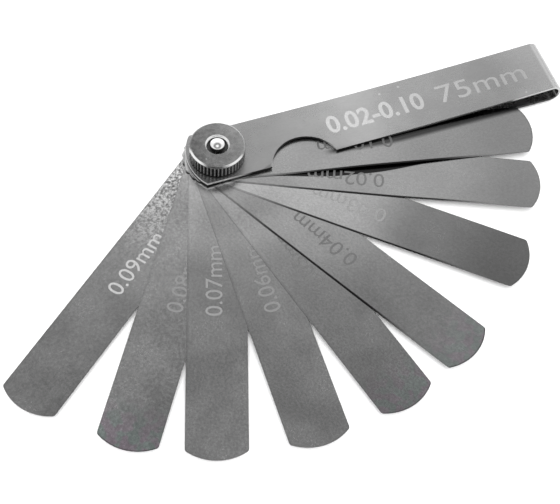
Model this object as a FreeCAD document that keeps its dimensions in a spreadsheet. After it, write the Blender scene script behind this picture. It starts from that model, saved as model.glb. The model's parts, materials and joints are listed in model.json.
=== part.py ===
import FreeCAD, Part
import os
import Sketcher

# Feeler gauge: nine thin blades on one screw, which fold into a handle bent from one sheet.
# Frame: the origin is on the pivot axis at the underside of the screw head, +X runs along
# the handle towards its fold, and +Z runs up through the nut. Millimetres and degrees.

DRIVING = (
    ("bladeLength", 75.0, "blade, end to end"),
    ("bladeWidth", 12.0, "blade, side to side"),
    ("bladeEndRadius", 10.0, "arc across each blade end"),
    ("bladeCornerRadius", 0.8, "rounding between a blade's end arc and its side"),
    ("setback", 6.5, "pivot axis to the rear end of the blades and of the handle"),
    ("foldClearance", 8.4, "closed blade's tip to the inside of the fold"),
    ("handleOverlap", 0.5, "handle, beyond each side of a closed blade"),
    ("handleEndRadius", 10.5, "arc across the handle's rear end"),
    ("sheetThickness", 0.6, "handle sheet"),
    ("foldHeight", 4.5, "handle, outside height at the fold"),
    ("flatMargin", 2.1, "flat of the upper leaf, beyond the nut's rim"),
    ("notchRadius", 7.5, "thumb notch"),
    ("notchAlong", 17.3, "pivot axis to the notch centre, along the handle"),
    ("notchOffset", 1.9, "handle's side to the notch centre, outwards"),
    ("screwDiameter", 3.0, "screw shank"),
    ("boreClearance", 0.05, "radial, shank to each hole around it"),
    ("slidingGap", 0.02, "between faces that slide on each other"),
    ("headDiameter", 8.5, "screw head"),
    ("headHeight", 1.0, "screw head"),
    ("headChamfer", 0.2, "rim of the head's underside"),
    ("recessSpan", 4.0, "cross recess in the head, tip to tip"),
    ("recessWidth", 0.9, "cross recess, one arm"),
    ("recessDepth", 0.6, "cross recess"),
    ("studProud", 0.7, "screw end above the nut"),
    ("domeHeight", 0.45, "rounded part of the screw end"),
    ("nutDiameter", 11.8, "nut over the knurl"),
    ("nutHeight", 3.6, "nut"),
    ("nutChamfer", 0.4, "both rims of the nut"),
    ("collarHeight", 0.55, "smooth rim of the nut, above the knurl"),
    ("knurlPitch", 0.8, "groove to groove around the rim, before rounding to whole grooves"),
    ("knurlDepth", 0.35, "groove"),
    ("knurlAngle", 90.0, "between the groove's flanks"),
    ("counterboreClearance", 0.6, "radial, shank to the recess around the screw end"),
    ("counterboreDepth", 0.8, "recess around the screw end"),
    ("counterboreChamfer", 0.45, "mouth of the recess"),
    ("washerDiameter", 8.0, "spacer washers"),
    ("washerThickness", 0.2, "spacer washers"),
)

# From the top of the stack down: hundredths of a millimetre, and how far the blade is
# swung out of the handle.
BLADES = (
    (10, 11.4),
    (2, 23.7),
    (3, 40.8),
    (4, 60.7),
    (5, 75.1),
    (6, 91.3),
    (7, 108.2),
    (8, 122.7),
    (9, 140.5),
)

OVERCUT = 1.0  # how far a cutting outline runs past the edge that it trims
SAME_PLACE = 1e-6  # two points nearer than this are one corner

doc = FreeCAD.newDocument("FeelerGauge")


def makeSheet():
    sheet = doc.addObject("Spreadsheet::Sheet", "Sizes")
    rows = list(DRIVING)
    for place, (hundredths, angle) in enumerate(BLADES, 1):
        rows.append((f"bladeThickness{place}", hundredths / 100, f"blade {place} from the top"))
        rows.append((f"bladeAngle{place}", angle, f"blade {place}, swung out of the handle"))
    for row, (alias, value, note) in enumerate(rows, 1):
        sheet.set(f"A{row}", note)
        sheet.set(f"B{row}", str(value))
        sheet.setAlias(f"B{row}", alias)
    doc.recompute()
    return sheet


sizes = makeSheet()

# Expressions that several pieces share. Each names the sheet's cells.
shankRadius = "Sizes.screwDiameter / 2"
boreRadius = f"({shankRadius} + Sizes.boreClearance)"
leafAndWasher = "(Sizes.sheetThickness + Sizes.washerThickness)"
bladeStack = "(" + " + ".join(
    f"Sizes.bladeThickness{place} + Sizes.slidingGap" for place in range(1, len(BLADES) + 1)
) + " + Sizes.slidingGap)"
clampedHeight = f"(2 * {leafAndWasher} + {bladeStack})"
nutFoot = f"(Sizes.headHeight + {clampedHeight} + Sizes.slidingGap)"
handleSide = "(Sizes.bladeWidth / 2 + Sizes.handleOverlap)"
foldInside = "(Sizes.bladeLength - Sizes.setback + Sizes.foldClearance)"


def makeBody(name, height):
    body = doc.addObject("PartDesign::Body", name)
    body.Label = name
    body.setExpression("Placement.Base.z", height)
    return body


def addSketch(body, role, name):
    sketch = body.newObject("Sketcher::SketchObject", name)
    plane = next(item for item in body.Origin.OriginFeatures if item.Role == role)
    sketch.AttachmentSupport = [(plane, "")]
    sketch.MapMode = "FlatFace"
    return sketch


def measure(expression):
    return float(sizes.evalExpression(expression))


def bind(sketch, kind, where, name, expression):
    index = sketch.addConstraint(Sketcher.Constraint(kind, *where, measure(expression)))
    sketch.renameConstraint(index, name)
    sketch.setExpression(f"Constraints.{name}", expression)


def drawCircle(sketch, name, radius, along="0", across="0"):
    centre = FreeCAD.Vector(measure(along), measure(across), 0)
    circle = sketch.addGeometry(Part.Circle(centre, FreeCAD.Vector(0, 0, 1), measure(radius)))
    bind(sketch, "Radius", (circle,), f"{name}Radius", radius)
    if along == across == "0":
        sketch.addConstraint(Sketcher.Constraint("Coincident", circle, 3, -1, 1))
        return
    bind(sketch, "DistanceX", (-1, 1, circle, 3), f"{name}Along", along)
    bind(sketch, "DistanceY", (-1, 1, circle, 3), f"{name}Across", across)


def middleOfArc(start, end, radius, bulge):
    # bulge is +1 where the arc lies to the right of the way from start to end, else -1
    chord = end - start
    reach = (radius**2 - chord.Length**2 / 4) ** 0.5
    outward = FreeCAD.Vector(chord.y, -chord.x, 0).normalize() * bulge
    return (start + end) / 2 + outward * (radius - reach)


def drawOutline(sketch, corners):
    # Each corner is a name, x and y. For an arc to the next corner its radius and bulge
    # follow, and for one that turns half a circle or more a point on it, too.
    points = [FreeCAD.Vector(measure(c[1]), measure(c[2]), 0) for c in corners]
    edges = []
    for index, corner in enumerate(corners):
        start, end = points[index], points[(index + 1) % len(points)]
        if len(corner) == 3:
            edges.append(sketch.addGeometry(Part.LineSegment(start, end)))
            continue
        radius, bulge = corner[3:5]
        middle = middleOfArc(start, end, measure(radius), bulge)
        if len(corner) == 6:
            middle = FreeCAD.Vector(measure(corner[5][0]), measure(corner[5][1]), 0)
        edges.append(sketch.addGeometry(Part.Arc(start, middle, end)))
    for index, corner in enumerate(corners):
        edge, before = edges[index], edges[index - 1]
        # an arc drawn clockwise is stored the other way round, so its ends are looked up
        first = 1 if (sketch.getPoint(edge, 1) - points[index]).Length < SAME_PLACE else 2
        last = 2 if (sketch.getPoint(before, 2) - points[index]).Length < SAME_PLACE else 1
        sketch.addConstraint(Sketcher.Constraint("Coincident", before, last, edge, first))
        for kind, side, axis, expression in (
            ("DistanceX", "X", -2, corner[1]),
            ("DistanceY", "Y", -1, corner[2]),
        ):
            if expression == "0":
                sketch.addConstraint(Sketcher.Constraint("PointOnObject", edge, first, axis))
            else:
                bind(sketch, kind, (-1, 1, edge, first), corner[0] + side, expression)
        if len(corner) > 3:
            bind(sketch, "Radius", (edge,), f"{corner[0]}Radius", corner[3])


def addPad(body, sketch, name, length, symmetric=False):
    pad = body.newObject("PartDesign::Pad", name)
    pad.Profile = sketch
    pad.setExpression("Length", length)
    if symmetric:
        pad.SideType = "Symmetric"
    return pad


def addPocket(body, sketch, name, upwards=True):
    pocket = body.newObject("PartDesign::Pocket", name)
    pocket.Profile = sketch
    pocket.Type = "ThroughAll"
    pocket.Reversed = upwards
    return pocket


def addRevolution(body, sketch, name):
    revolution = body.newObject("PartDesign::Revolution", name)
    revolution.Profile = sketch
    revolution.ReferenceAxis = (sketch, ["V_Axis"])
    revolution.Angle = 360
    return revolution


def makeHandle():
    body = makeBody("handle", "Sizes.headHeight")
    rear = "-Sizes.setback"
    foldRadius = "(Sizes.foldHeight / 2)"
    foldOutside = f"({foldInside} + Sizes.sheetThickness)"
    foldCentre = f"({foldOutside} - {foldRadius})"
    flat = "(Sizes.nutDiameter / 2 + Sizes.flatMargin)"
    # the upper leaf leaves its clamped flat tangent, as one long arc, and meets the fold tangent
    run = f"({foldCentre} - {flat})"
    rise = f"(Sizes.foldHeight - {clampedHeight})"
    leafRadius = f"(({run} * {run} / {rise} - {clampedHeight}) / 2)"
    slope = f"({run} / ({leafRadius} + {foldRadius}))"
    level = f"sqrt(1 - {slope} * {slope})"
    innerFold = f"({foldRadius} - Sizes.sheetThickness)"
    section = addSketch(body, "XZ_Plane", "handleSection")
    drawOutline(section, (
        ("bottomRear", rear, "0"),
        ("bottomFold", foldCentre, "0", foldRadius, 1, (foldOutside, foldRadius)),
        ("topFold", f"{foldCentre} - {foldRadius} * {slope}", f"{foldRadius} * (1 + {level})",
         leafRadius, -1),
        ("topFlat", flat, clampedHeight),
        ("topRear", rear, clampedHeight),
        ("innerTopRear", rear, f"{clampedHeight} - Sizes.sheetThickness"),
        ("innerTopFlat", flat, f"{clampedHeight} - Sizes.sheetThickness",
         f"{leafRadius} + Sizes.sheetThickness", 1),
        ("innerTopFold", f"{foldCentre} - {innerFold} * {slope}",
         f"{foldRadius} + {innerFold} * {level}", innerFold, -1,
         (foldInside, foldRadius)),
        ("innerBottomFold", foldCentre, "Sizes.sheetThickness"),
        ("innerBottomRear", rear, "Sizes.sheetThickness"),
    ))
    addPad(body, section, "foldedSheet", f"2 * {handleSide}", symmetric=True)
    # plan view: the rear end's arc, the thumb notch and the pivot hole, through both leaves
    trim = addSketch(body, "XY_Plane", "handlePlan")
    drawCircle(trim, "bore", boreRadius)
    drawCircle(trim, "notch", "Sizes.notchRadius", "Sizes.notchAlong",
               f"-({handleSide} + Sizes.notchOffset)")
    addPocket(body, trim, "notchAndBore")
    rearTrim = addSketch(body, "XY_Plane", "handleRear")
    side = f"({handleSide} + {OVERCUT})"
    endRadius = "Sizes.handleEndRadius"
    arcEnd = f"(-Sizes.setback + {endRadius} - sqrt({endRadius} * {endRadius} - {side} * {side}))"
    behind = f"(-Sizes.setback - {OVERCUT})"
    drawOutline(rearTrim, (
        ("nearArc", arcEnd, f"-{side}", endRadius, -1),
        ("farArc", arcEnd, side),
        ("farBehind", behind, side),
        ("nearBehind", behind, f"-{side}"),
    ))
    addPocket(body, rearTrim, "rearEnd")
    return body


def isUpright(edge):
    start, end = edge.Vertexes[0].Point, edge.Vertexes[-1].Point
    return abs(end.z - start.z) > SAME_PLACE and abs(edge.Length - abs(end.z - start.z)) < SAME_PLACE


def makeBlade(place, hundredths):
    name = f"blade_0_{hundredths:02d}"
    below = range(place + 1, len(BLADES) + 1)
    height = f"Sizes.headHeight + {leafAndWasher} + Sizes.slidingGap"
    for lower in below:
        height += f" + Sizes.bladeThickness{lower} + Sizes.slidingGap"
    body = makeBody(name, height)
    body.setExpression("Placement.Rotation.Angle", f"-Sizes.bladeAngle{place} * 1 deg")
    side = "Sizes.bladeWidth / 2"
    endRadius = "Sizes.bladeEndRadius"
    sagitta = f"({endRadius} - sqrt({endRadius} * {endRadius} - Sizes.bladeWidth * Sizes.bladeWidth / 4))"
    tip = f"(Sizes.bladeLength - Sizes.setback - {sagitta})"
    rear = f"({sagitta} - Sizes.setback)"
    outline = addSketch(body, "XY_Plane", f"{name}_outline")
    drawCircle(outline, "bore", boreRadius)
    drawOutline(outline, (
        ("nearRear", rear, f"-{side}"),
        ("nearTip", tip, f"-{side}", endRadius, 1),
        ("farTip", tip, side),
        ("farRear", rear, side, endRadius, 1),
    ))
    pad = addPad(body, outline, f"{name}_strip", f"Sizes.bladeThickness{place}")
    doc.recompute()
    # the upright edges at the strip's four corners, and not the one in the bore's wall
    bore = measure(boreRadius)
    corners = [
        f"Edge{number}" for number, edge in enumerate(pad.Shape.Edges, 1)
        if isUpright(edge) and abs(edge.CenterOfMass.y) > bore
    ]
    fillet = body.newObject("PartDesign::Fillet", f"{name}_corners")
    fillet.Base = (pad, corners)
    fillet.setExpression("Radius", "Sizes.bladeCornerRadius")
    return body


def makeWasher(name, height):
    body = makeBody(name, height)
    ring = addSketch(body, "XY_Plane", f"{name}_ring")
    drawCircle(ring, "rim", "Sizes.washerDiameter / 2")
    drawCircle(ring, "bore", boreRadius)
    addPad(body, ring, f"{name}_disc", "Sizes.washerThickness")
    return body


def makeScrew():
    body = makeBody("pivot_screw", "0")
    headRadius = "Sizes.headDiameter / 2"
    top = f"({nutFoot} + Sizes.nutHeight + Sizes.studProud)"
    dome = f"({shankRadius} * {shankRadius} / Sizes.domeHeight + Sizes.domeHeight) / 2"
    section = addSketch(body, "XZ_Plane", "screwSection")
    drawOutline(section, (
        ("foot", "0", "0"),
        ("headFoot", f"{headRadius} - Sizes.headChamfer", "0"),
        ("headRim", headRadius, "Sizes.headChamfer"),
        ("headTop", headRadius, "Sizes.headHeight"),
        ("shankFoot", shankRadius, "Sizes.headHeight"),
        ("shankTop", shankRadius, f"{top} - Sizes.domeHeight", dome, 1),
        ("crown", "0", top),
    ))
    addRevolution(body, section, "turnedScrew")
    # a plus-shaped recess in the head's underside
    recess = addSketch(body, "XY_Plane", "recessPlan")
    arm, half = "Sizes.recessSpan / 2", "Sizes.recessWidth / 2"
    quarter = (("tip", arm, half), ("inner", half, half), ("side", half, arm))
    corners = []
    for turn, (signX, signY) in enumerate((("", ""), ("-", ""), ("-", "-"), ("", "-"))):
        ordered = quarter if turn % 2 == 0 else quarter[::-1]
        corners += [(f"{name}{turn}", signX + x, signY + y) for name, x, y in ordered]
    drawOutline(recess, corners)
    pocket = addPocket(body, recess, "crossRecess")
    pocket.Type = "Length"
    pocket.setExpression("Length", "Sizes.recessDepth")
    return body


def makeNut():
    body = makeBody("thumb_nut", nutFoot)
    rim = "Sizes.nutDiameter / 2"
    recess = f"({shankRadius} + Sizes.counterboreClearance)"
    chamfered = f"{rim} - Sizes.nutChamfer"
    floor = "Sizes.nutHeight - Sizes.counterboreDepth"
    section = addSketch(body, "XZ_Plane", "nutSection")
    drawOutline(section, (
        ("boreFoot", boreRadius, "0"),
        ("footChamfer", chamfered, "0"),
        ("rimFoot", rim, "Sizes.nutChamfer"),
        ("rimTop", rim, "Sizes.nutHeight - Sizes.nutChamfer"),
        ("topChamfer", chamfered, "Sizes.nutHeight"),
        ("mouth", f"{recess} + Sizes.counterboreChamfer", "Sizes.nutHeight"),
        ("mouthFoot", recess, "Sizes.nutHeight - Sizes.counterboreChamfer"),
        ("recessFloor", recess, floor),
        ("boreTop", boreRadius, floor),
    ))
    addRevolution(body, section, "turnedNut")
    # one vee groove, repeated around the rim
    groove = addSketch(body, "XY_Plane", "grooveSection")
    root = f"({rim} - Sizes.knurlDepth)"
    outside = f"({rim} + {OVERCUT})"
    spread = f"(Sizes.knurlDepth + {OVERCUT}) * tan(Sizes.knurlAngle / 2 * 1 deg)"
    drawOutline(groove, (
        ("root", root, "0"),
        ("near", outside, f"-{spread}"),
        ("far", outside, spread),
    ))
    cut = addPocket(body, groove, "knurlGroove")
    cut.Type = "Length"
    cut.setExpression("Length", "Sizes.nutHeight - Sizes.collarHeight")
    ring = body.newObject("PartDesign::PolarPattern", "knurl")
    ring.Originals = [cut]
    ring.Axis = (groove, ["N_Axis"])
    ring.Angle = 360
    ring.setExpression("Occurrences", "round(pi * Sizes.nutDiameter / Sizes.knurlPitch)")
    body.Tip = ring
    return body


def makeGauge():
    bodies = [makeScrew(), makeHandle()]
    bodies.append(makeWasher("lower_washer", "Sizes.headHeight + Sizes.sheetThickness"))
    for place, (hundredths, _) in enumerate(BLADES, 1):
        bodies.append(makeBlade(place, hundredths))
    bodies.append(makeWasher("upper_washer", f"Sizes.headHeight + {leafAndWasher} + {bladeStack}"))
    bodies.append(makeNut())
    return bodies


def checkDocument(bodies):
    doc.recompute()
    for item in doc.Objects:
        if "Invalid" in item.State or "Error" in item.State:
            raise RuntimeError(f"{item.Label} did not build: {item.State}")
    for body in bodies:
        if body.Shape.isNull() or not body.Shape.isValid() or len(body.Shape.Solids) != 1:
            raise RuntimeError(f"{body.Label} is not one valid solid")
        # every cut has to take material away
        cuts = [step for step in body.Group if step.TypeId == "PartDesign::Pocket"]
        for cut in cuts:
            if cut.Shape.Volume >= cut.BaseFeature.Shape.Volume:
                raise RuntimeError(f"{cut.Label} cuts nothing")


def main():
    bodies = makeGauge()
    checkDocument(bodies)
    os.makedirs("parts", exist_ok=True)
    for body in bodies:
        body.Shape.exportStep(f"parts/{body.Label}.step")
        box = body.Shape.BoundBox
        print(f"{body.Label}: {body.Shape.Volume:.3f} mm3, z {box.ZMin:.3f} to {box.ZMax:.3f}")


main()
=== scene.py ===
import json
from math import cos, radians, sin, tau
import bmesh
import bpy
from mathutils import Matrix, Vector
from mathutils.bvhtree import BVHTree


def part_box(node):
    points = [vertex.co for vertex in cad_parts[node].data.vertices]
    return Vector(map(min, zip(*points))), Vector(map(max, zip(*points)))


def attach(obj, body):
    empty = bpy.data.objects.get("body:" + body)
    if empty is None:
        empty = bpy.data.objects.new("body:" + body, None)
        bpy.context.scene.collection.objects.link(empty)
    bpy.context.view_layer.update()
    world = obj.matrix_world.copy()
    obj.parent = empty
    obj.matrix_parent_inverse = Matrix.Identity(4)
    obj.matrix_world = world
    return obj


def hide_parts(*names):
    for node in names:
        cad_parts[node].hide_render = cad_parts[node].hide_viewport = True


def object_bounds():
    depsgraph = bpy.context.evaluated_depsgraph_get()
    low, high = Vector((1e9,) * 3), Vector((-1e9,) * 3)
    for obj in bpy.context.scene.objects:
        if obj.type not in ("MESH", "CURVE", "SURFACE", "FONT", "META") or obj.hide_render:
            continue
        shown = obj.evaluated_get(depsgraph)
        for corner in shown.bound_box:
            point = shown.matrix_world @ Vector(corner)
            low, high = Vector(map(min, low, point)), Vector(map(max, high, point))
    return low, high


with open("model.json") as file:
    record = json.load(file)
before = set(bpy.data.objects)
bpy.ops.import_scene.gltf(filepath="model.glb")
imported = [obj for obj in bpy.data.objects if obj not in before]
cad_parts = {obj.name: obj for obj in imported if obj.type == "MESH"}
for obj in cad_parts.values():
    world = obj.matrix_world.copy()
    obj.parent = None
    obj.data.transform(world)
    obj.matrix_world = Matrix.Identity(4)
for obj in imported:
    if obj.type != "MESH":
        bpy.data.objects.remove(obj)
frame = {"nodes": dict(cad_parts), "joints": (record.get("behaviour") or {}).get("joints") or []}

mm = 0.001
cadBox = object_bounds()
nodes = frame["nodes"]


class Wire:
    # one value inside a material; sums and products written on it add Math nodes
    def __init__(self, finish, socket):
        self.finish = finish
        self.socket = socket

    def maths(self, operation, *values):
        return self.finish.node("ShaderNodeMath", {"operation": operation}, dict(enumerate(values)))

    def __add__(self, other):
        return self.maths("ADD", self, other)

    def __sub__(self, other):
        return self.maths("SUBTRACT", self, other)

    def __rsub__(self, other):
        return self.maths("SUBTRACT", other, self)

    def __mul__(self, other):
        return self.maths("MULTIPLY", self, other)

    def __pow__(self, other):
        return self.maths("POWER", self, other)

    __radd__ = __add__
    __rmul__ = __mul__

    def size(self):
        return self.maths("ABSOLUTE", self)

    def atLeast(self, other):
        return self.maths("MAXIMUM", self, other)

    def above(self, other):
        return self.maths("GREATER_THAN", self, other)

    def wave(self, length):
        # from -1 to 1 and back over this length
        return self.maths("SINE", self * (tau / length))

    def ramp(self, start, end, low=0.0, high=1.0):
        # low up to start, high from end on, and a smooth step between
        settings = {"interpolation_type": "SMOOTHSTEP", "clamp": True}
        inputs = {"Value": self, "From Min": start, "From Max": end, "To Min": low, "To Max": high}
        return self.finish.node("ShaderNodeMapRange", settings, inputs)

    def through(self, places, values):
        # a smooth curve that takes these values at these places
        curve = values[0]
        for start, end, low, high in zip(places, places[1:], values, values[1:]):
            curve = self.ramp(start, end, 0.0, high - low) + curve
        return curve


class Finish:
    # the node tree of a material or of the world, with short ways to add to it
    def __init__(self, tree):
        self.tree = tree

    def node(self, kind, settings=None, inputs=None, output=0):
        made = self.tree.nodes.new(kind)
        for key, value in (settings or {}).items():
            setattr(made, key, value)
        for key, value in (inputs or {}).items():
            self.feed(made.inputs[key], value)
        return Wire(self, made.outputs[output])

    def feed(self, socket, value):
        if isinstance(value, Wire):
            self.tree.links.new(value.socket, socket)
        else:
            socket.default_value = value

    def place(self, turn=0.0, stretch=(1, 1, 1), shift=(0, 0, 0)):
        # object coordinates in metres, turned about Z, stretched and shifted
        spot = self.node("ShaderNodeTexCoord", output="Object")
        turned = self.node("ShaderNodeMapping", inputs={"Vector": spot, "Rotation": (0, 0, turn)})
        inputs = {0: turned, 1: stretch, 2: shift}
        return self.node("ShaderNodeVectorMath", {"operation": "MULTIPLY_ADD"}, inputs)

    def noise(self, spot, size, detail=3.0, roughness=0.5):
        inputs = {"Vector": spot, "Scale": 1 / size, "Detail": detail, "Roughness": roughness}
        return self.node("ShaderNodeTexNoise", inputs=inputs)

    def patches(self, spot, size, detail=3.0, roughness=0.5):
        # noise spread out to the whole range from -0.5 to 0.5
        return self.noise(spot, size, detail, roughness).ramp(0.3, 0.7, -0.5, 0.5)

    def specks(self, spot, spacing, width, share):
        # small round spots: one in each cell of the pattern, kept in this share of the cells
        inputs = {"Vector": spot, "Scale": 1 / spacing}
        centre = self.node("ShaderNodeTexVoronoi", inputs=inputs)
        chance = self.node("ShaderNodeTexVoronoi", inputs=inputs, output=1)
        radius = width / 2 / spacing
        return centre.ramp(radius, radius / 2) * self.axes(chance)[0].above(1 - share)

    def axes(self, spot):
        parts = self.tree.nodes.new("ShaderNodeSeparateXYZ")
        self.feed(parts.inputs[0], spot)
        return [Wire(self, socket) for socket in parts.outputs]

    def blend(self, factor, first, second, kind="MIX"):
        settings = {"data_type": "RGBA", "blend_type": kind}
        return self.node("ShaderNodeMix", settings, {0: factor, 6: first, 7: second}, output=2)

    def grey(self, value):
        return self.node("ShaderNodeCombineColor", inputs={0: value, 1: value, 2: value})


class Metal(Finish):
    def __init__(self, name, metallic=1.0):
        self.material = bpy.data.materials.new(name)
        self.material.use_nodes = True
        super().__init__(self.material.node_tree)
        self.shader = self.tree.nodes["Principled BSDF"]
        self.shader.inputs["Metallic"].default_value = metallic

    def put(self, **values):
        for key, value in values.items():
            self.feed(self.shader.inputs[key.replace("_", " ")], value)
        return self.material

    def bump(self, height, depth, strength=0.5):
        inputs = {"Height": height, "Distance": depth, "Strength": strength}
        self.put(Normal=self.node("ShaderNodeBump", inputs=inputs))


def mergedCopy(node, merge=0.5e-6, flat=radians(0.02)):
    # a CAD node's mesh as one closed surface, with its coplanar triangles joined
    shape = bmesh.new()
    shape.from_mesh(nodes[node].data)
    bmesh.ops.remove_doubles(shape, verts=shape.verts[:], dist=merge)
    bmesh.ops.dissolve_limit(shape, angle_limit=flat, verts=shape.verts[:], edges=shape.edges[:])
    return shape


def softenEdges(shape, offset, sharp=radians(30), segments=2):
    edges = [edge for edge in shape.edges if edge.calc_face_angle(0) > sharp]
    bmesh.ops.bevel(shape, geom=edges, offset=offset, offset_type="OFFSET", segments=segments,
                    profile=0.5, affect="EDGES", material=-1, clamp_overlap=True)


def finishPiece(shape, name, material, body, replaced=None, smooth=radians(40)):
    for face in shape.faces:
        face.smooth = True
    for edge in shape.edges:
        edge.smooth = edge.calc_face_angle(0) < smooth
    mesh = bpy.data.meshes.new(name)
    shape.to_mesh(mesh)
    shape.free()
    mesh.materials.append(material)
    piece = bpy.data.objects.new(name, mesh)
    bpy.context.scene.collection.objects.link(piece)
    if replaced:
        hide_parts(replaced)
    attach(piece, body)
    return piece


def flattenNormals(piece):
    # large faces keep their own normal beside a rounded edge
    weighted = piece.modifiers.new("weightedNormals", "WEIGHTED_NORMAL")
    weighted.keep_sharp = True


def letters(text, length, height, depth, weight=0.0):
    # the text as a thin solid of that length and height, centred on the origin
    curve = bpy.data.curves.new(text, "FONT")
    curve.body = text
    curve.resolution_u = 4
    curve.offset = weight
    holder = bpy.data.objects.new(text, curve)
    bpy.context.scene.collection.objects.link(holder)
    bpy.context.view_layer.update()
    flat = bpy.data.meshes.new_from_object(holder)
    bpy.data.objects.remove(holder)
    shape = bmesh.new()
    shape.from_mesh(flat)
    bmesh.ops.remove_doubles(shape, verts=shape.verts[:], dist=1e-5)
    low = Vector([min(vertex.co[axis] for vertex in shape.verts) for axis in range(3)])
    high = Vector([max(vertex.co[axis] for vertex in shape.verts) for axis in range(3)])
    size = high - low
    bmesh.ops.translate(shape, verts=shape.verts[:], vec=-(low + high) / 2)
    bmesh.ops.scale(shape, verts=shape.verts[:], vec=(length / size.x, height / size.y, 1))
    top = bmesh.ops.extrude_face_region(shape, geom=shape.faces[:])
    lifted = [item for item in top["geom"] if isinstance(item, bmesh.types.BMVert)]
    bmesh.ops.translate(shape, verts=lifted, vec=(0, 0, depth))
    bmesh.ops.recalc_face_normals(shape, faces=shape.faces[:])
    return shape


etching = {"grit": 0.15 * mm, "unevenness": 0.3, "roughness": 0.6}


def etchedMark(name, shade, farShade=None, span=(0, 1)):
    # dull oxide lettering; the shade may fade along X
    metal = Metal(name, 0.0)
    spot = metal.place()
    grit = metal.patches(spot, etching["grit"], 2.0)
    if farShade is not None:
        shade = metal.axes(spot)[0].ramp(*span, shade, farShade)
    uneven = shade * (1 + grit * etching["unevenness"])
    return metal.put(Base_Color=metal.grey(uneven), Roughness=etching["roughness"])


blades = {
    "cut": 1.5 * mm,  # between the cross cuts that let a blade bow
    "lane": 2 * mm,  # between the cuts along it
    "clampedTo": 9.2 * mm,  # from the pivot axis, flat up to here
    "settledAt": 20 * mm,
    "bowFrom": 12 * mm,
    "openedAt": 34 * mm,
    "farAt": 60 * mm,
    "stackGap": 0.02 * mm,  # between two blades under the nut
    "leafGap": 0.22 * mm,  # under the bottom blade, where the washer is
    "settledGap": 0.035 * mm,  # under the bottom blade further out
    "endRadius": 10 * mm,
    "halfWidth": 6 * mm,
    "toneAt": (14 * mm, 30 * mm, 46 * mm, 64 * mm),
    "mottled": (10 * mm, 34 * mm),  # from the mottling near the pivot to that everywhere
    "tipLine": 0.3 * mm,  # width of the dark line round the tip
    "tipLineFrom": 3 * mm,  # back from the tip
    "sideLine": 0.2 * mm,
    "sideShade": 0.3,
    "plainRim": 0.15,
    # painted shade along the edge that lies on the next blade: its strength, how far in, where it
    # thins and where it starts
    "plainGapShade": 0.1,
    "gapShadeIn": (0.5 * mm, 0.3 * mm),  # in from the edge
    "gapShadeThins": (60 * mm, 46 * mm),
    "gapShadeStarts": (8 * mm, 22 * mm),
    "darkest": 0.93,
    "tintBack": (12 * mm, 1 * mm),  # from the tip
    "tints": ((0.92, 1.06, 1.02, 1), (1.08, 0.94, 1.06, 1)),
    "relief": 0.004 * mm,
    "roughness": 0.23,
    "markAt": 29.6 * mm,
    "markLength": 16.2 * mm,
    "markHeight": 3.4 * mm,
    "markDepth": 0.012 * mm,
}
# two painted shadow pools beside the edge of what lies on the blade, one for the handle and one for
# the blade above: that thing's angle in degrees and its half width, then where along it the painted
# shadow starts, opens and closes, how far it reaches out past the edge and how softly, how far it
# reaches in under it, and how dark it is
handleShadowPool = {
    "angle": 0.0,
    "edge": 6.5 * mm,
    "starts": (21.5 * mm, 24.5 * mm),
    "opens": (14 * mm, 40 * mm),
    "closes": (90 * mm, 120 * mm),
    "depth": 2.3 * mm,
    "soft": 1.2 * mm,
    "under": (0.4 * mm, 1.6 * mm),
    "dark": 0.85,
}
bladeShadowPool = {
    "angle": 11.4,
    "edge": 6 * mm,
    "starts": (8 * mm, 11 * mm),
    "opens": (8 * mm, 26 * mm),
    "closes": (31 * mm, 50 * mm),
    "depth": 1.5 * mm,
    "soft": 0.2 * mm,
    "under": (0.2 * mm, 0.8 * mm),
    "dark": 1.0,
}
# top to bottom: the gap under each blade in mm at openedAt and at farAt, the tone of the steel at
# each of toneAt, partly its own tone and partly painted shading for how the light falls along the
# blade, the shade of the marking and its shift along and across the blade in mm, the mottling near
# the pivot and everywhere, the tint at the tip, the dark line round the tip, the painted shade
# along the edge that lies on the next blade, and the painted shadow pool beside the edge of what
# lies on the blade
bladeLooks = {
    "blade_0_10": {"gaps": (0.64, 0.04), "tones": (0.42, 0.42, 0.32, 0.26), "mark": 0.09,
                   "rim": 0.6, "gapShade": 1.0, "shadowPool": handleShadowPool},
    "blade_0_02": {"gaps": (0.06, 0.40), "tones": (0.45, 0.43, 0.41, 0.27), "mark": 0.11,
                   "shift": (-2.2, -2.2), "gapShade": 1.0, "shadowPool": bladeShadowPool},
    "blade_0_03": {"gaps": (0.03, 0.14), "tones": (0.64, 0.54, 0.26, 0.18), "mark": 0.20,
                   "gapShade": 1.0},
    "blade_0_04": {"gaps": (0.03, 0.10), "tones": (0.48, 0.45, 0.32, 0.345), "mark": 0.095,
                   "tint": 0.6, "rim": 1.0, "gapShade": 1.0},
    "blade_0_05": {"gaps": (0.015, 0.015), "tones": (0.60, 0.40, 0.34, 0.355), "mark": 0.105,
                   "tint": 0.7, "rim": 0.7},
    "blade_0_06": {"gaps": (0.015, 0.015), "tones": (0.49, 0.40, 0.40, 0.42), "mark": 0.165,
                   "shift": (0.9, 0.0)},
    "blade_0_07": {"gaps": (0.015, 0.015), "tones": (0.58, 0.37, 0.41, 0.465), "mark": 0.20,
                   "shift": (0.2, -0.6), "mottle": (0.05, 0.0)},
    "blade_0_08": {"gaps": (0.015, 0.015), "tones": (0.51, 0.42, 0.45, 0.43), "mark": 0.17,
                   "shift": (0.3, 1.0), "mottle": (0.16, 0.1), "tint": 1.0, "rim": 0.9},
    "blade_0_09": {"gaps": (0.035, 0.035), "tones": (0.58, 0.42, 0.38, 0.38), "mark": 0.35,
                   "shift": (0.9, 0.0), "mottle": (0.8, 0.06)},
}


def smoothStep(value, start, end):
    share = min(1.0, max(0.0, (value - start) / (end - start)))
    return share * share * (3 - 2 * share)


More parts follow.
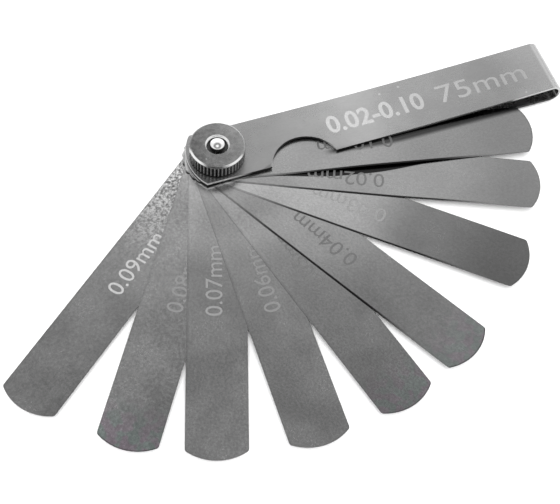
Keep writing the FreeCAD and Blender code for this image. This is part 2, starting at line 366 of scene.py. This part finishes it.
def bow(place, distance):
    # height that the blade at this place in the stack, 0 on top, gains this far from the pivot
    opened = smoothStep(distance, blades["bowFrom"], blades["openedAt"])
    far = smoothStep(distance, blades["openedAt"], blades["farAt"])
    looks = list(bladeLooks.values())
    gained = 0.0
    for look in looks[place:-1]:
        near, outer = look["gaps"]
        gained += opened * (near * mm - blades["stackGap"]) + far * (outer - near) * mm
    settled = smoothStep(distance, blades["clampedTo"], blades["settledAt"])
    return gained - (blades["leafGap"] - blades["settledGap"]) * settled


# painted shadow beside the edge of what lies over the blade, fading out past that edge
def paintedShadowPool(metal, shadowPool):
    along, across = metal.axes(metal.place(radians(shadowPool["angle"])))[:2]
    inward = across + shadowPool["edge"]
    depth = along.ramp(*shadowPool["opens"], 0.0, shadowPool["depth"])
    depth = depth * along.ramp(*shadowPool["closes"], 1.0, 0.0)
    shadowed = (inward + depth).ramp(0.0, shadowPool["soft"], 0.0, shadowPool["dark"])
    return shadowed * inward.ramp(*shadowPool["under"], 1.0, 0.0) * along.ramp(*shadowPool["starts"])


def darkLines(metal, x, y, reach, look):
    # a dark line along the edges, stronger round the tip, and painted shade beside the edge that
    # lies on the next blade or under the handle
    width = blades["tipLine"]
    fromTip = ((x - (reach - blades["endRadius"])) ** 2 + y ** 2) ** 0.5
    tip = fromTip.ramp(blades["endRadius"] - width, blades["endRadius"])
    tip = tip * x.above(reach - blades["tipLineFrom"])
    side = y.size().ramp(blades["halfWidth"] - blades["sideLine"], blades["halfWidth"])
    # painted shade along the edge that lies on the next blade, where the gap under it is in shadow
    fromEdge = y + blades["halfWidth"]
    gapShade = fromEdge.ramp(*blades["gapShadeIn"], 0.0, look.get("gapShade", blades["plainGapShade"]))
    gapShade = gapShade * x.ramp(*blades["gapShadeThins"]) * x.ramp(*blades["gapShadeStarts"], 0.4, 1.0)
    # the painted shadow pool beside the edge of what lies over the blade
    if "shadowPool" in look:
        gapShade = gapShade.atLeast(paintedShadowPool(metal, look["shadowPool"]))
    rim = tip * look.get("rim", blades["plainRim"])
    return rim.atLeast(side * blades["sideShade"]).atLeast(gapShade)


def bladeSteel(name, turn, reach, look, seed):
    metal = Metal(name)
    moved = metal.place(-turn, shift=(seed, 0, seed))
    brushed = metal.place(-turn, (0.3, 1, 1), (seed, 0, 0))
    x, y = metal.axes(metal.place(-turn))[:2]
    clouds = metal.patches(moved, 9 * mm, 2.0)
    grain = metal.patches(brushed, 0.2 * mm, 2.0, 0.6)
    speckle = metal.patches(moved, 0.5 * mm, 3.0, 0.7)
    nearMottle, mottle = look.get("mottle", (0.0, 0.0))
    # the tone along the blade: partly the steel's own tone, partly painted shading for how the
    # light falls along it
    tone = x.through(blades["toneAt"], look["tones"])
    tone = tone * (1 + clouds * 0.07 + grain * 0.07 + speckle * 0.12)
    if nearMottle or mottle:
        coarse = metal.patches(moved, 0.6 * mm, 3.0, 0.7)
        tone = tone * (1 + coarse * x.ramp(*blades["mottled"], nearMottle * 2, mottle * 2))
    tone = tone + metal.specks(moved, 7 * mm, 0.5 * mm, 0.3) * 0.5
    line = darkLines(metal, x, y, reach, look)
    colour = metal.grey(tone * (1 - line * blades["darkest"]))
    if "tint" in look:
        hue = metal.noise(moved, 2.2 * mm, 1.0).ramp(0.42, 0.58)
        film = metal.blend(hue, *blades["tints"])
        back, end = blades["tintBack"]
        atTip = x.ramp(reach - back, reach - end, 0.0, look["tint"])
        colour = metal.blend(atTip, colour, film, "MULTIPLY")
    pitting = speckle * (0.6 + x.ramp(*blades["mottled"], nearMottle * 3, 0.0))
    metal.bump(grain * 0.4 + pitting, blades["relief"])
    roughness = blades["roughness"] + clouds * 0.05 + speckle * 0.05
    return metal.put(Base_Color=colour, Roughness=roughness.atLeast(0.1))


def bowShape(shape, place):
    for vertex in shape.verts:
        vertex.co.z += bow(place, vertex.co.xy.length)


def makeBlade(place, node, look):
    # a blade is swung out of the handle by the angle of its joint's limit on the closed side
    joint = next(joint for joint in frame["joints"] if joint["child"] == node)
    turn = -radians(joint["range_deg"][1])
    outward = Vector((cos(turn), sin(turn), 0))
    shape = mergedCopy(node)
    reach = max(vertex.co.dot(outward) for vertex in shape.verts)
    across = Vector((-outward.y, outward.x, 0))
    cuts = [(outward, index * blades["cut"]) for index in range(int(reach / blades["cut"]) + 1)]
    cuts += [(across, lane * blades["lane"]) for lane in range(-2, 3)]
    for direction, distance in cuts:
        everything = shape.verts[:] + shape.edges[:] + shape.faces[:]
        bmesh.ops.bisect_plane(shape, geom=everything, plane_co=direction * distance,
                               plane_no=direction, dist=1e-7)
    bowShape(shape, place)
    steel = bladeSteel(f"{node}_steel", turn, reach, look, 0.05 * place)
    finishPiece(shape, f"{node}_strip", steel, node, node)
    # the marking reads from the tip to the pivot
    marking = node.replace("blade_", "").replace("_", ".") + "mm"
    text = letters(marking, blades["markLength"], blades["markHeight"], blades["markDepth"])
    turned = Matrix.Rotation(turn + tau / 2, 4, "Z")
    bmesh.ops.transform(text, matrix=turned, verts=text.verts[:])
    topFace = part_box(node)[1].z - blades["markDepth"] / 2
    along, aside = look.get("shift", (0, 0))
    spot = Vector((0, 0, topFace)) + outward * (blades["markAt"] + along * mm) + across * aside * mm
    bmesh.ops.translate(text, verts=text.verts[:], vec=spot)
    bowShape(text, place)
    shade = etchedMark(f"{node}_etching", look["mark"])
    finishPiece(text, f"{node}_marking", shade, node)


for place, (node, look) in enumerate(bladeLooks.items()):
    makeBlade(place, node, look)
print("blades made:", len(bladeLooks))


handle = {
    "edge": 0.09 * mm,
    "toneAt": (10 * mm, 32 * mm, 46 * mm, 64 * mm, 75 * mm),
    "tones": (0.36, 0.50, 0.42, 0.36, 0.45),
    "bendAt": (70 * mm, 74 * mm),
    "bendShade": 0.5,
    # where the painted highlight on the cut edge of the sheet lies
    "brightAbove": (1.8 * mm, 2.4 * mm),
    "brightTo": (60 * mm, 66 * mm),
    "rearEnd": (0, 6 * mm),
    # painted shade on the near walls of the handle, beside the blades and on the lower leaf
    "shadedFrom": (3 * mm, 6 * mm),
    "shadedTo": (46 * mm, 32 * mm),
    "shadedBelow": (3.4 * mm, 1.8 * mm),
    "edgeShade": 0.95,
    "relief": 0.004 * mm,
    "textHeight": 4.6 * mm,
    "textDepth": 0.02 * mm,
    "textShades": (0.40, 0.25),
    # text, start and end along the handle, weight of the letters
    "texts": (("0.02-0.10", 24.7 * mm, 47.0 * mm, 0.022), ("75mm", 50.5 * mm, 71.0 * mm, 0.0)),
}


def handleSteel():
    metal = Metal("handle_steel")
    spot = metal.place()
    x, _, z = metal.axes(spot)
    clouds = metal.patches(spot, 10 * mm, 3.0, 0.55)
    grain = metal.patches(metal.place(0, (0.15, 1, 1)), 0.22 * mm, 2.0, 0.6)
    speckle = metal.patches(spot, 0.45 * mm, 3.0, 0.65)
    scuffs = metal.specks(spot, 5 * mm, 0.7 * mm, 0.4)
    facing = metal.axes(metal.node("ShaderNodeNewGeometry", output=1))
    upright = facing[2].size().ramp(0.85, 0.55)
    # the upright faces round the fold are darkened by bendShade, a painted shade, and get no
    # painted highlight
    bend = upright * facing[1].size().ramp(0.7, 0.3) * x.ramp(*handle["bendAt"])
    # the cut edge of the sheet gets a painted highlight, and painted shade instead on the lower
    # leaf and by the blades
    edgeHighlight = upright * z.ramp(*handle["brightAbove"]) * (1 - bend)
    edgeHighlight = edgeHighlight * x.ramp(*handle["rearEnd"], 0.7, 0.4) * x.ramp(*handle["brightTo"], 1.0, 0.0)
    # painted shade on the walls that face -Y, beside the blades and on the lower leaf
    beside = x.ramp(*handle["shadedTo"]) * x.ramp(*handle["shadedFrom"])
    shadedEdge = beside.atLeast(z.ramp(*handle["shadedBelow"])) * (0 - facing[1]).ramp(0.3, 0.8)
    tone = x.through(handle["toneAt"], handle["tones"])
    tone = tone * (1 + clouds * 0.16 + grain * 0.06 + speckle * 0.05) + scuffs * 0.2
    tone = (tone + edgeHighlight) * (1 - shadedEdge * handle["edgeShade"]) * (1 - bend * handle["bendShade"])
    metal.bump(grain * 0.5 + speckle * 0.5, handle["relief"])
    return metal.put(Base_Color=metal.grey(tone), Roughness=0.28 + clouds * 0.08 + speckle * 0.04)


def makeHandle():
    shape = mergedCopy("handle")
    sheet = BVHTree.FromBMesh(shape)
    softenEdges(shape, handle["edge"])
    steel = handleSteel()
    flattenNormals(finishPiece(shape, "handle_sheet", steel, "handle", "handle"))
    span = (handle["texts"][0][1], handle["texts"][-1][2])
    stamped = etchedMark("stamped_letters", *handle["textShades"], span)
    for text, start, end, weight in handle["texts"]:
        shape = letters(text, end - start, handle["textHeight"], handle["textDepth"], weight)
        middle = ((start + end) / 2, 0, -handle["textDepth"] / 2)
        bmesh.ops.translate(shape, verts=shape.verts[:], vec=middle)
        for vertex in shape.verts:
            # laid on the upper leaf, which a ray straight down meets first
            above = Vector((vertex.co.x, vertex.co.y, cadBox[1][2]))
            vertex.co.z += sheet.ray_cast(above, Vector((0, 0, -1)))[0].z
        finishPiece(shape, f"handle_letters_{text}", stamped, "handle")


makeHandle()
print("handle made")


nut = {
    "edge": 0.035 * mm,
    "knurlRoot": 5.55 * mm,
    "knurlTop": 5.9 * mm,
    "rimFrom": 5.5 * mm,
    "rimDown": (0.45 * mm, 0.35 * mm),  # below the top
    "knurlDown": (0.5 * mm, 0.3 * mm),
    "recessWall": 2.13 * mm,
    "lipTo": 2.58 * mm,
    "fade": 0.05 * mm,
    "turning": 0.4 * mm,  # from one lathe mark to the next
    "tone": 0.25,
    "toneSlope": 0.016 / mm,
    # directions of the two painted highlights on the rim
    "glintAt": ((-0.93, -0.36), (0.35, -0.94)),
    # the side of the recess round the stud that gets painted shade
    "recessShadeAt": (-0.41, -0.91),
    "recessShadeFrom": (0.9 * mm, 1.5 * mm),
    "relief": 0.01 * mm,
    "top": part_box("thumb_nut")[1].z,
}
screwEdge = 0.05 * mm


def towards(x, y, direction):
    # distance from the axis in this direction
    return x * direction[0] + y * direction[1]


def belowTop(z, down):
    return z.ramp(nut["top"] - down[0], nut["top"] - down[1])


def nutPlating():
    metal = Metal("nut_plating")
    spot = metal.place()
    x, y, z = metal.axes(spot)
    radius = (x * x + y * y) ** 0.5
    worn = metal.patches(spot, 0.9 * mm, 3.0, 0.6)
    patch = metal.patches(spot, 4 * mm, 1.0)
    flecks = metal.specks(spot, 1.6 * mm, 0.4 * mm, 0.35)
    # the rim gets a painted highlight on two sides
    rim = radius.ramp(nut["rimFrom"], nut["rimFrom"] + nut["fade"]) * belowTop(z, nut["rimDown"])
    glintReach = (0.8 * nut["knurlTop"], 0.95 * nut["knurlTop"])
    glints = [towards(x, y, side).ramp(*glintReach) for side in nut["glintAt"]]
    rim = rim * (0.16 + (glints[0] + glints[1]) * 0.7)
    lip = radius.ramp(nut["recessWall"], nut["recessWall"] + nut["fade"])
    lip = lip * radius.ramp(nut["lipTo"], nut["lipTo"] - nut["fade"])
    # painted shade lies in the grooves of the knurl and at one side of the recess round the stud
    knurl = 1 - belowTop(z, nut["knurlDown"])
    grooveShade = radius.ramp(nut["knurlRoot"], nut["knurlTop"], 0.92, 0.0) * knurl
    ridge = radius.ramp(nut["knurlTop"] - 3 * nut["fade"], nut["knurlTop"]) * knurl
    inside = radius.ramp(nut["recessWall"] + nut["fade"], nut["recessWall"])
    recessShade = towards(x, y, nut["recessShadeAt"]).ramp(*nut["recessShadeFrom"])
    unshaded = (1 - grooveShade) * (1 - inside * recessShade * 0.9)
    tone = nut["tone"] + x * nut["toneSlope"] + worn * 0.08 + patch * 0.06 + flecks * 0.4
    tone = tone.atLeast(rim).atLeast(lip * 0.8).atLeast(inside * 0.7).atLeast(ridge * 0.6)
    metal.bump(radius.wave(nut["turning"]) * 0.15 + worn * 0.5, nut["relief"])
    colour = metal.grey((tone * unshaded).atLeast(0.02))
    return metal.put(Base_Color=colour, Roughness=0.27 + worn * 0.12)


def polishedSteel(name, shade, roughness):
    metal = Metal(name)
    worn = metal.patches(metal.place(), 0.7 * mm, 3.0, 0.6)
    metal.bump(worn, 0.004 * mm)
    return metal.put(Base_Color=metal.grey(shade + worn * 0.08), Roughness=roughness + worn * 0.06)


def makeTurned(node, name, material, edge, body):
    shape = mergedCopy(node)
    softenEdges(shape, edge)
    flattenNormals(finishPiece(shape, name, material, body, node))


makeTurned("thumb_nut", "knurled_nut", nutPlating(), nut["edge"], "nut")
makeTurned("pivot_screw", "screw", polishedSteel("screw_plating", 0.85, 0.18), screwEdge, "handle")
washerSteel = polishedSteel("washer_steel", 0.5, 0.3)
for node in ("upper_washer", "lower_washer"):
    nodes[node].data.materials.clear()
    nodes[node].data.materials.append(washerSteel)
print("nut, screw and washers made")


studio = {
    "aim": Vector((4.862, -26.051, 2.17)) * mm,
    "distance": 278.03 * mm,
    "elevation": radians(58.4325),
    "azimuth": radians(-24.3626),
    "roll": radians(5.6541),
    "lens": 88.1,
    "floorHalf": 1.5,
    "floorColour": (0.93, 0.93, 0.93, 1),
    "sensor": 36,
    "clipStart": 0.01,
    "skyTurn": radians(19.2),  # brings the sky's Y axis to the direction that the viewer looks in
    "keyStrength": 3.0,
    "keyAngle": radians(40),
    "keyElevation": radians(68),
    "keyAzimuth": radians(-19),
}


def makeFloor():
    shape = bmesh.new()
    bmesh.ops.create_grid(shape, x_segments=1, y_segments=1, size=studio["floorHalf"])
    mesh = bpy.data.meshes.new("floor")
    shape.to_mesh(mesh)
    shape.free()
    pale = Metal("pale_floor", 0.0).put(Base_Color=studio["floorColour"], Roughness=0.9)
    mesh.materials.append(pale)
    floor = bpy.data.objects.new("floor", mesh)
    bpy.context.scene.collection.objects.link(floor)


def makeWorld():
    world = bpy.data.worlds.new("studio")
    world.use_nodes = True
    bpy.context.scene.world = world
    sky = Finish(world.node_tree)
    direction = sky.node("ShaderNodeTexCoord", output="Generated")
    inputs = {"Vector": direction, "Rotation": (0, 0, studio["skyTurn"])}
    turned = sky.node("ShaderNodeMapping", inputs=inputs)
    x, y, z = sky.axes(turned)  # x to the right, y away from the viewer
    back = z.ramp(0.77, 0.90, 1.1, 0.26) + z.ramp(0.60, 0.77, 0.3, 0.0)
    side = x.size().ramp(0.42, 0.75)
    front = (0 - y).ramp(0.05, 0.3) * z.ramp(0.78, 0.5)
    overhead = z.ramp(0.965, 0.985)
    strength = back * (1 - front * 0.88) * (1 - side) + side + overhead
    background = world.node_tree.nodes["Background"]
    sky.feed(background.inputs["Color"], (1, 1, 1, 1))
    sky.feed(background.inputs["Strength"], strength)


def fromAngles(azimuth, elevation):
    # direction towards a place seen at this azimuth, 0 along -Y, and elevation
    return Vector((sin(azimuth) * cos(elevation), -cos(azimuth) * cos(elevation), sin(elevation)))


def makeKey():
    light = bpy.data.lights.new("key", "SUN")
    light.energy = studio["keyStrength"]
    light.angle = studio["keyAngle"]
    key = bpy.data.objects.new("key", light)
    direction = fromAngles(studio["keyAzimuth"], studio["keyElevation"])
    key.rotation_euler = direction.to_track_quat("Z", "Y").to_euler()
    # it lights the floor and the markings; the metal mirrors only the sky
    key.visible_glossy = False
    bpy.context.scene.collection.objects.link(key)


def makeCamera():
    back = fromAngles(studio["azimuth"], studio["elevation"])
    level = Vector((0, 0, 1)).cross(back).normalized()
    upright = back.cross(level)
    right = level * cos(studio["roll"]) + upright * sin(studio["roll"])
    data = bpy.data.cameras.new("camera")
    data.lens = studio["lens"]
    data.sensor_width = studio["sensor"]
    data.clip_start = studio["clipStart"]
    camera = bpy.data.objects.new("camera", data)
    turn = Matrix((right, back.cross(right), back)).transposed().to_4x4()
    camera.matrix_world = Matrix.Translation(studio["aim"] + back * studio["distance"]) @ turn
    bpy.context.scene.collection.objects.link(camera)
    bpy.context.scene.camera = camera


makeFloor()
makeWorld()
makeKey()
makeCamera()
bpy.context.scene.view_settings.view_transform = "Standard"
print("stage, light and camera set")
